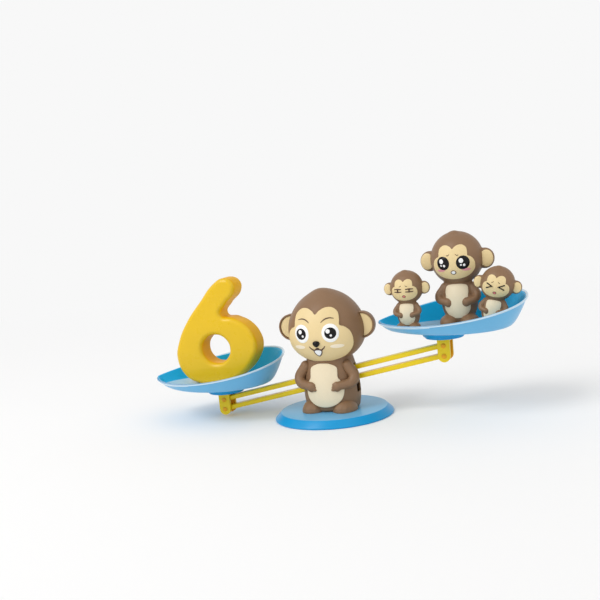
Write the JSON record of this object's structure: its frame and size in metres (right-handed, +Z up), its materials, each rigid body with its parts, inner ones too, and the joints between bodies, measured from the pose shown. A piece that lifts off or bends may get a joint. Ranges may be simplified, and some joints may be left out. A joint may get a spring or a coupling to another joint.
{
  "type": "number balance toy",
  "caption": "Toy counting balance: a monkey on a round base, two parallel bars, level scoop dishes, a standing numeral and small monkey counters.",
  "frame": {"origin": "centre of the base's flat underside, which stands on the table", "axes": "+X to the right along the bars, towards the dish with the counters; the monkey faces -Y; +Z up"},
  "size_m": [0.4264, 0.129, 0.1887],
  "materials": {
    "brown_plastic": "satin moulded plastic",
    "beige_plastic": "satin moulded plastic",
    "black_gloss": "glossy",
    "yellow_plastic": "glossy moulded plastic",
    "numeral_plastic": "glossy moulded plastic",
    "sky_blue_plastic": "glossy moulded plastic",
    "deep_blue_plastic": "glossy moulded plastic",
    "steel": "brushed",
    "bronze_pin": "glossy moulded plastic"
  },
  "bodies": {
    "monkey_stand": {"base": "sky_blue_plastic", "base_cover": "deep_blue_plastic", "base_screw_front": "steel", "base_screw_rear": "steel", "belly_plate": "beige_plastic", "body_back_shell": "brown_plastic", "body_front_shell": "brown_plastic", "body_screw_left": "steel", "body_screw_right": "steel", "face_plate": "beige_plastic", "head_back_shell": "brown_plastic", "head_front_shell": "brown_plastic", "head_screw_left": "steel", "head_screw_right": "steel", "left_arm": "brown_plastic", "left_ear": "brown_plastic", "left_eye": "black_gloss", "left_foot": "brown_plastic", "left_inner_ear": "beige_plastic", "lower_axle": "steel", "nose": "black_gloss", "right_arm": "brown_plastic", "right_ear": "brown_plastic", "right_eye": "black_gloss", "right_foot": "brown_plastic", "right_inner_ear": "beige_plastic", "upper_axle": "steel"},
    "upper_beam": {"upper_beam": "yellow_plastic"},
    "lower_beam": {"lower_beam": "yellow_plastic"},
    "left_hanger": {"left_bracket": "yellow_plastic", "left_upper_pin": "bronze_pin", "left_lower_pin": "bronze_pin", "left_dish_foot": "deep_blue_plastic", "left_dish": "sky_blue_plastic"},
    "right_hanger": {"right_bracket": "yellow_plastic", "right_upper_pin": "bronze_pin", "right_lower_pin": "bronze_pin", "right_dish_foot": "deep_blue_plastic", "right_dish": "sky_blue_plastic"},
    "numeral": {"numeral_six": "numeral_plastic"},
    "large_counter": {"counter_large": "brown_plastic"},
    "small_counter_left": {"counter_small_left": "brown_plastic"},
    "small_counter_right": {"counter_small_right": "brown_plastic"}
  },
  "joints": [
    {"name": "beam_tilt", "type": "hinge", "parent": "monkey_stand", "child": "upper_beam", "pos_m": [0, 0, 0.04689], "axis": [0, 1, 0], "range_deg": [0, 24]},
    {"name": "lower_beam_tilt", "type": "hinge", "parent": "monkey_stand", "child": "lower_beam", "pos_m": [0, 0, 0.0361], "axis": [0, 1, 0], "range_deg": [0, 24]},
    {"name": "left_hanger_level", "type": "hinge", "parent": "upper_beam", "child": "left_hanger", "pos_m": [-0.127, 0, 0.0199], "axis": [0, 1, 0], "range_deg": [-24, 0]},
    {"name": "right_hanger_level", "type": "hinge", "parent": "upper_beam", "child": "right_hanger", "pos_m": [0.127, 0, 0.07389], "axis": [0, 1, 0], "range_deg": [-24, 0]},
    {"name": "numeral_lift", "type": "slide", "parent": "left_hanger", "child": "numeral", "axis": [0, 0, 1], "range_m": [0, 0.06]},
    {"name": "large_counter_lift", "type": "slide", "parent": "right_hanger", "child": "large_counter", "axis": [0, 0, 1], "range_m": [0, 0.06]},
    {"name": "small_counter_left_lift", "type": "slide", "parent": "right_hanger", "child": "small_counter_left", "axis": [0, 0, 1], "range_m": [0, 0.06]},
    {"name": "small_counter_right_lift", "type": "slide", "parent": "right_hanger", "child": "small_counter_right", "axis": [0, 0, 1], "range_m": [0, 0.06]}
  ],
  "couplings": [
    {"joint": "lower_beam_tilt", "follows": "beam_tilt", "ratio": 1},
    {"joint": "left_hanger_level", "follows": "beam_tilt", "ratio": -1},
    {"joint": "right_hanger_level", "follows": "beam_tilt", "ratio": -1}
  ]
}
